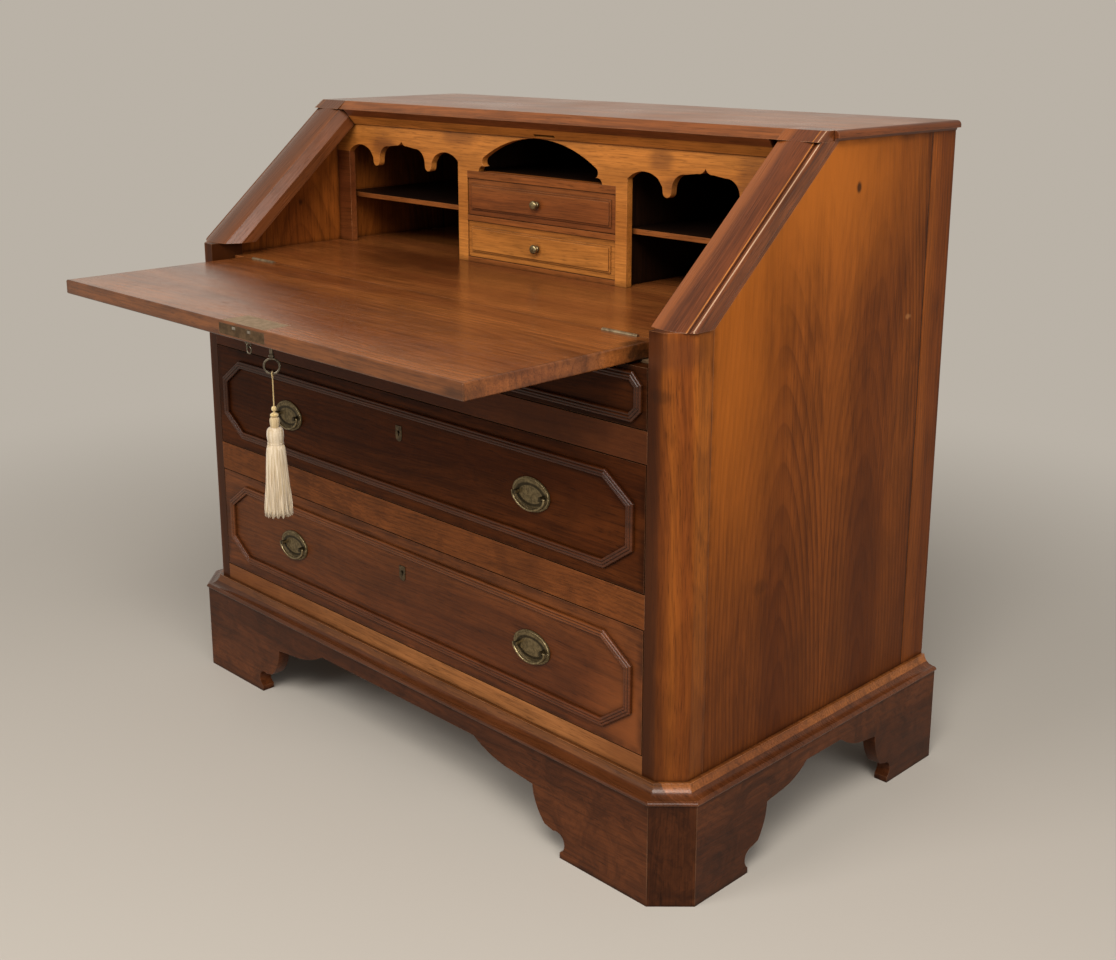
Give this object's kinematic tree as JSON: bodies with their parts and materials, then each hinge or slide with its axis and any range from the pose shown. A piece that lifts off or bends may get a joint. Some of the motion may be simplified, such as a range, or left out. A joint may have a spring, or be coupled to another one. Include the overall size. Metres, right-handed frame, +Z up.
{
  "type": "escritoire",
  "caption": "Slant-front writing desk: a hinged fall over a chest of panelled long drawers, scrolled pigeonhole gallery, canted corners, bracket feet, and a tasselled key in the lock.",
  "frame": {"origin": "On the floor, under the middle of the box around the desk with its fall open", "axes": "X runs to the right as seen from the front, Y to the back and Z up"},
  "size_m": [1.156, 0.877, 1],
  "materials": {
    "walnut": "satin polish, worn dark at the edges",
    "golden_walnut": "satin polish",
    "plain_wood": "planed, unpolished",
    "aged_brass": "aged, rubbed bright on top",
    "gold_thread": "twisted thread",
    "cream_thread": "soft thread fringe"
  },
  "bodies": {
    "carcase": {"corner_posts": "walnut", "side_panels": "walnut", "rear_stiles": "walnut", "slant_stiles": "walnut", "top_board": "walnut", "top_mouldings": "walnut", "writing_bed": "walnut", "drawer_rails": "walnut", "base_moulding": "walnut", "plinth_front": "walnut", "plinth_left": "walnut", "plinth_right": "walnut", "plinth_cants": "walnut", "strike_rail": "walnut", "gallery_fascia": "golden_walnut", "gallery_uprights": "golden_walnut", "gallery_shelves": "golden_walnut", "fall_rail": "plain_wood", "bottom_board": "plain_wood", "drawer_runners": "plain_wood", "back_boards": "plain_wood", "base_rear_rail": "plain_wood", "rear_brackets": "plain_wood", "glue_blocks": "plain_wood", "bed_hinges": "aged_brass"},
    "fall": {"fall_board": "walnut", "fall_hinges": "aged_brass", "fall_lock": "aged_brass", "fall_escutcheon": "aged_brass", "ring_eye": "aged_brass"},
    "bolt": {"lock_bolt": "aged_brass"},
    "key": {"key": "aged_brass"},
    "tassel": {"key_cord": "gold_thread", "tassel_head": "cream_thread", "tassel_skirt": "cream_thread"},
    "ring": {"fall_ring": "aged_brass"},
    "drawer_1": {"drawer_1_front": "walnut", "drawer_1_moulding": "walnut", "drawer_1_box": "plain_wood", "drawer_1_lock": "aged_brass"},
    "small_upper": {"small_upper_front": "walnut", "small_upper_box": "plain_wood", "small_upper_knob": "aged_brass"},
    "small_lower": {"small_lower_front": "golden_walnut", "small_lower_box": "plain_wood", "small_lower_knob": "aged_brass"},
    "drawer_2": {"drawer_2_front": "walnut", "drawer_2_moulding": "walnut", "drawer_2_box": "plain_wood", "drawer_2_lock": "aged_brass", "drawer_2_pull_plates": "aged_brass"},
    "bail_2_left": {"drawer_2_bail_left": "aged_brass"},
    "bail_2_right": {"drawer_2_bail_right": "aged_brass"},
    "drawer_3": {"drawer_3_front": "walnut", "drawer_3_moulding": "walnut", "drawer_3_box": "plain_wood", "drawer_3_lock": "aged_brass", "drawer_3_pull_plates": "aged_brass"},
    "bail_3_left": {"drawer_3_bail_left": "aged_brass"},
    "bail_3_right": {"drawer_3_bail_right": "aged_brass"}
  },
  "joints": [
    {"name": "fall_swing", "type": "hinge", "parent": "carcase", "child": "fall", "pos_m": [0, -0.1175, 0.747], "axis": [1, 0, 0], "range_deg": [-139, 0]},
    {"name": "drawer_1_slide", "type": "slide", "parent": "carcase", "child": "drawer_1", "axis": [0, -1, 0], "range_m": [0, 0.22]},
    {"name": "drawer_2_slide", "type": "slide", "parent": "carcase", "child": "drawer_2", "axis": [0, -1, 0], "range_m": [0, 0.38], "deforming": ["key_cord", "tassel_head", "tassel_skirt"]},
    {"name": "drawer_3_slide", "type": "slide", "parent": "carcase", "child": "drawer_3", "axis": [0, -1, 0], "range_m": [0, 0.38]},
    {"name": "small_upper_slide", "type": "slide", "parent": "carcase", "child": "small_upper", "axis": [0, -1, 0], "range_m": [0, 0.2]},
    {"name": "small_lower_slide", "type": "slide", "parent": "carcase", "child": "small_lower", "axis": [0, -1, 0], "range_m": [0, 0.2]},
    {"name": "bail_2_left_swing", "type": "hinge", "parent": "drawer_2", "child": "bail_2_left", "pos_m": [-0.287, -0.1685, 0.5105], "axis": [-1, 0, 0], "range_deg": [0, 80]},
    {"name": "bail_2_right_swing", "type": "hinge", "parent": "drawer_2", "child": "bail_2_right", "pos_m": [0.287, -0.1685, 0.5105], "axis": [-1, 0, 0], "range_deg": [0, 80]},
    {"name": "bail_3_left_swing", "type": "hinge", "parent": "drawer_3", "child": "bail_3_left", "pos_m": [-0.287, -0.1685, 0.2855], "axis": [-1, 0, 0], "range_deg": [0, 80]},
    {"name": "bail_3_right_swing", "type": "hinge", "parent": "drawer_3", "child": "bail_3_right", "pos_m": [0.287, -0.1685, 0.2855], "axis": [-1, 0, 0], "range_deg": [0, 80]},
    {"name": "key_turn", "type": "hinge", "parent": "fall", "child": "key", "pos_m": [0.044, -0.4075, 0.6795], "axis": [0, 0, 1], "range_deg": [0, 180]},
    {"name": "bolt_throw", "type": "slide", "parent": "fall", "child": "bolt", "axis": [0, -1, 0], "range_m": [0, 0.006]},
    {"name": "tassel_swing", "type": "hinge", "parent": "key", "child": "tassel", "pos_m": [0.044, -0.4075, 0.6795], "axis": [1, 0, 0], "range_deg": [0, 95]},
    {"name": "ring_swing", "type": "hinge", "parent": "fall", "child": "ring", "pos_m": [0.03, -0.4325, 0.719], "axis": [1, 0, 0], "range_deg": [0, 90]}
  ],
  "couplings": [
    {"joint": "bolt_throw", "follows": "key_turn", "m_per_rad": 0.0019099},
    {"joint": "tassel_swing", "follows": "fall_swing", "ratio": -0.68345},
    {"joint": "ring_swing", "follows": "fall_swing", "ratio": -0.64748}
  ]
}
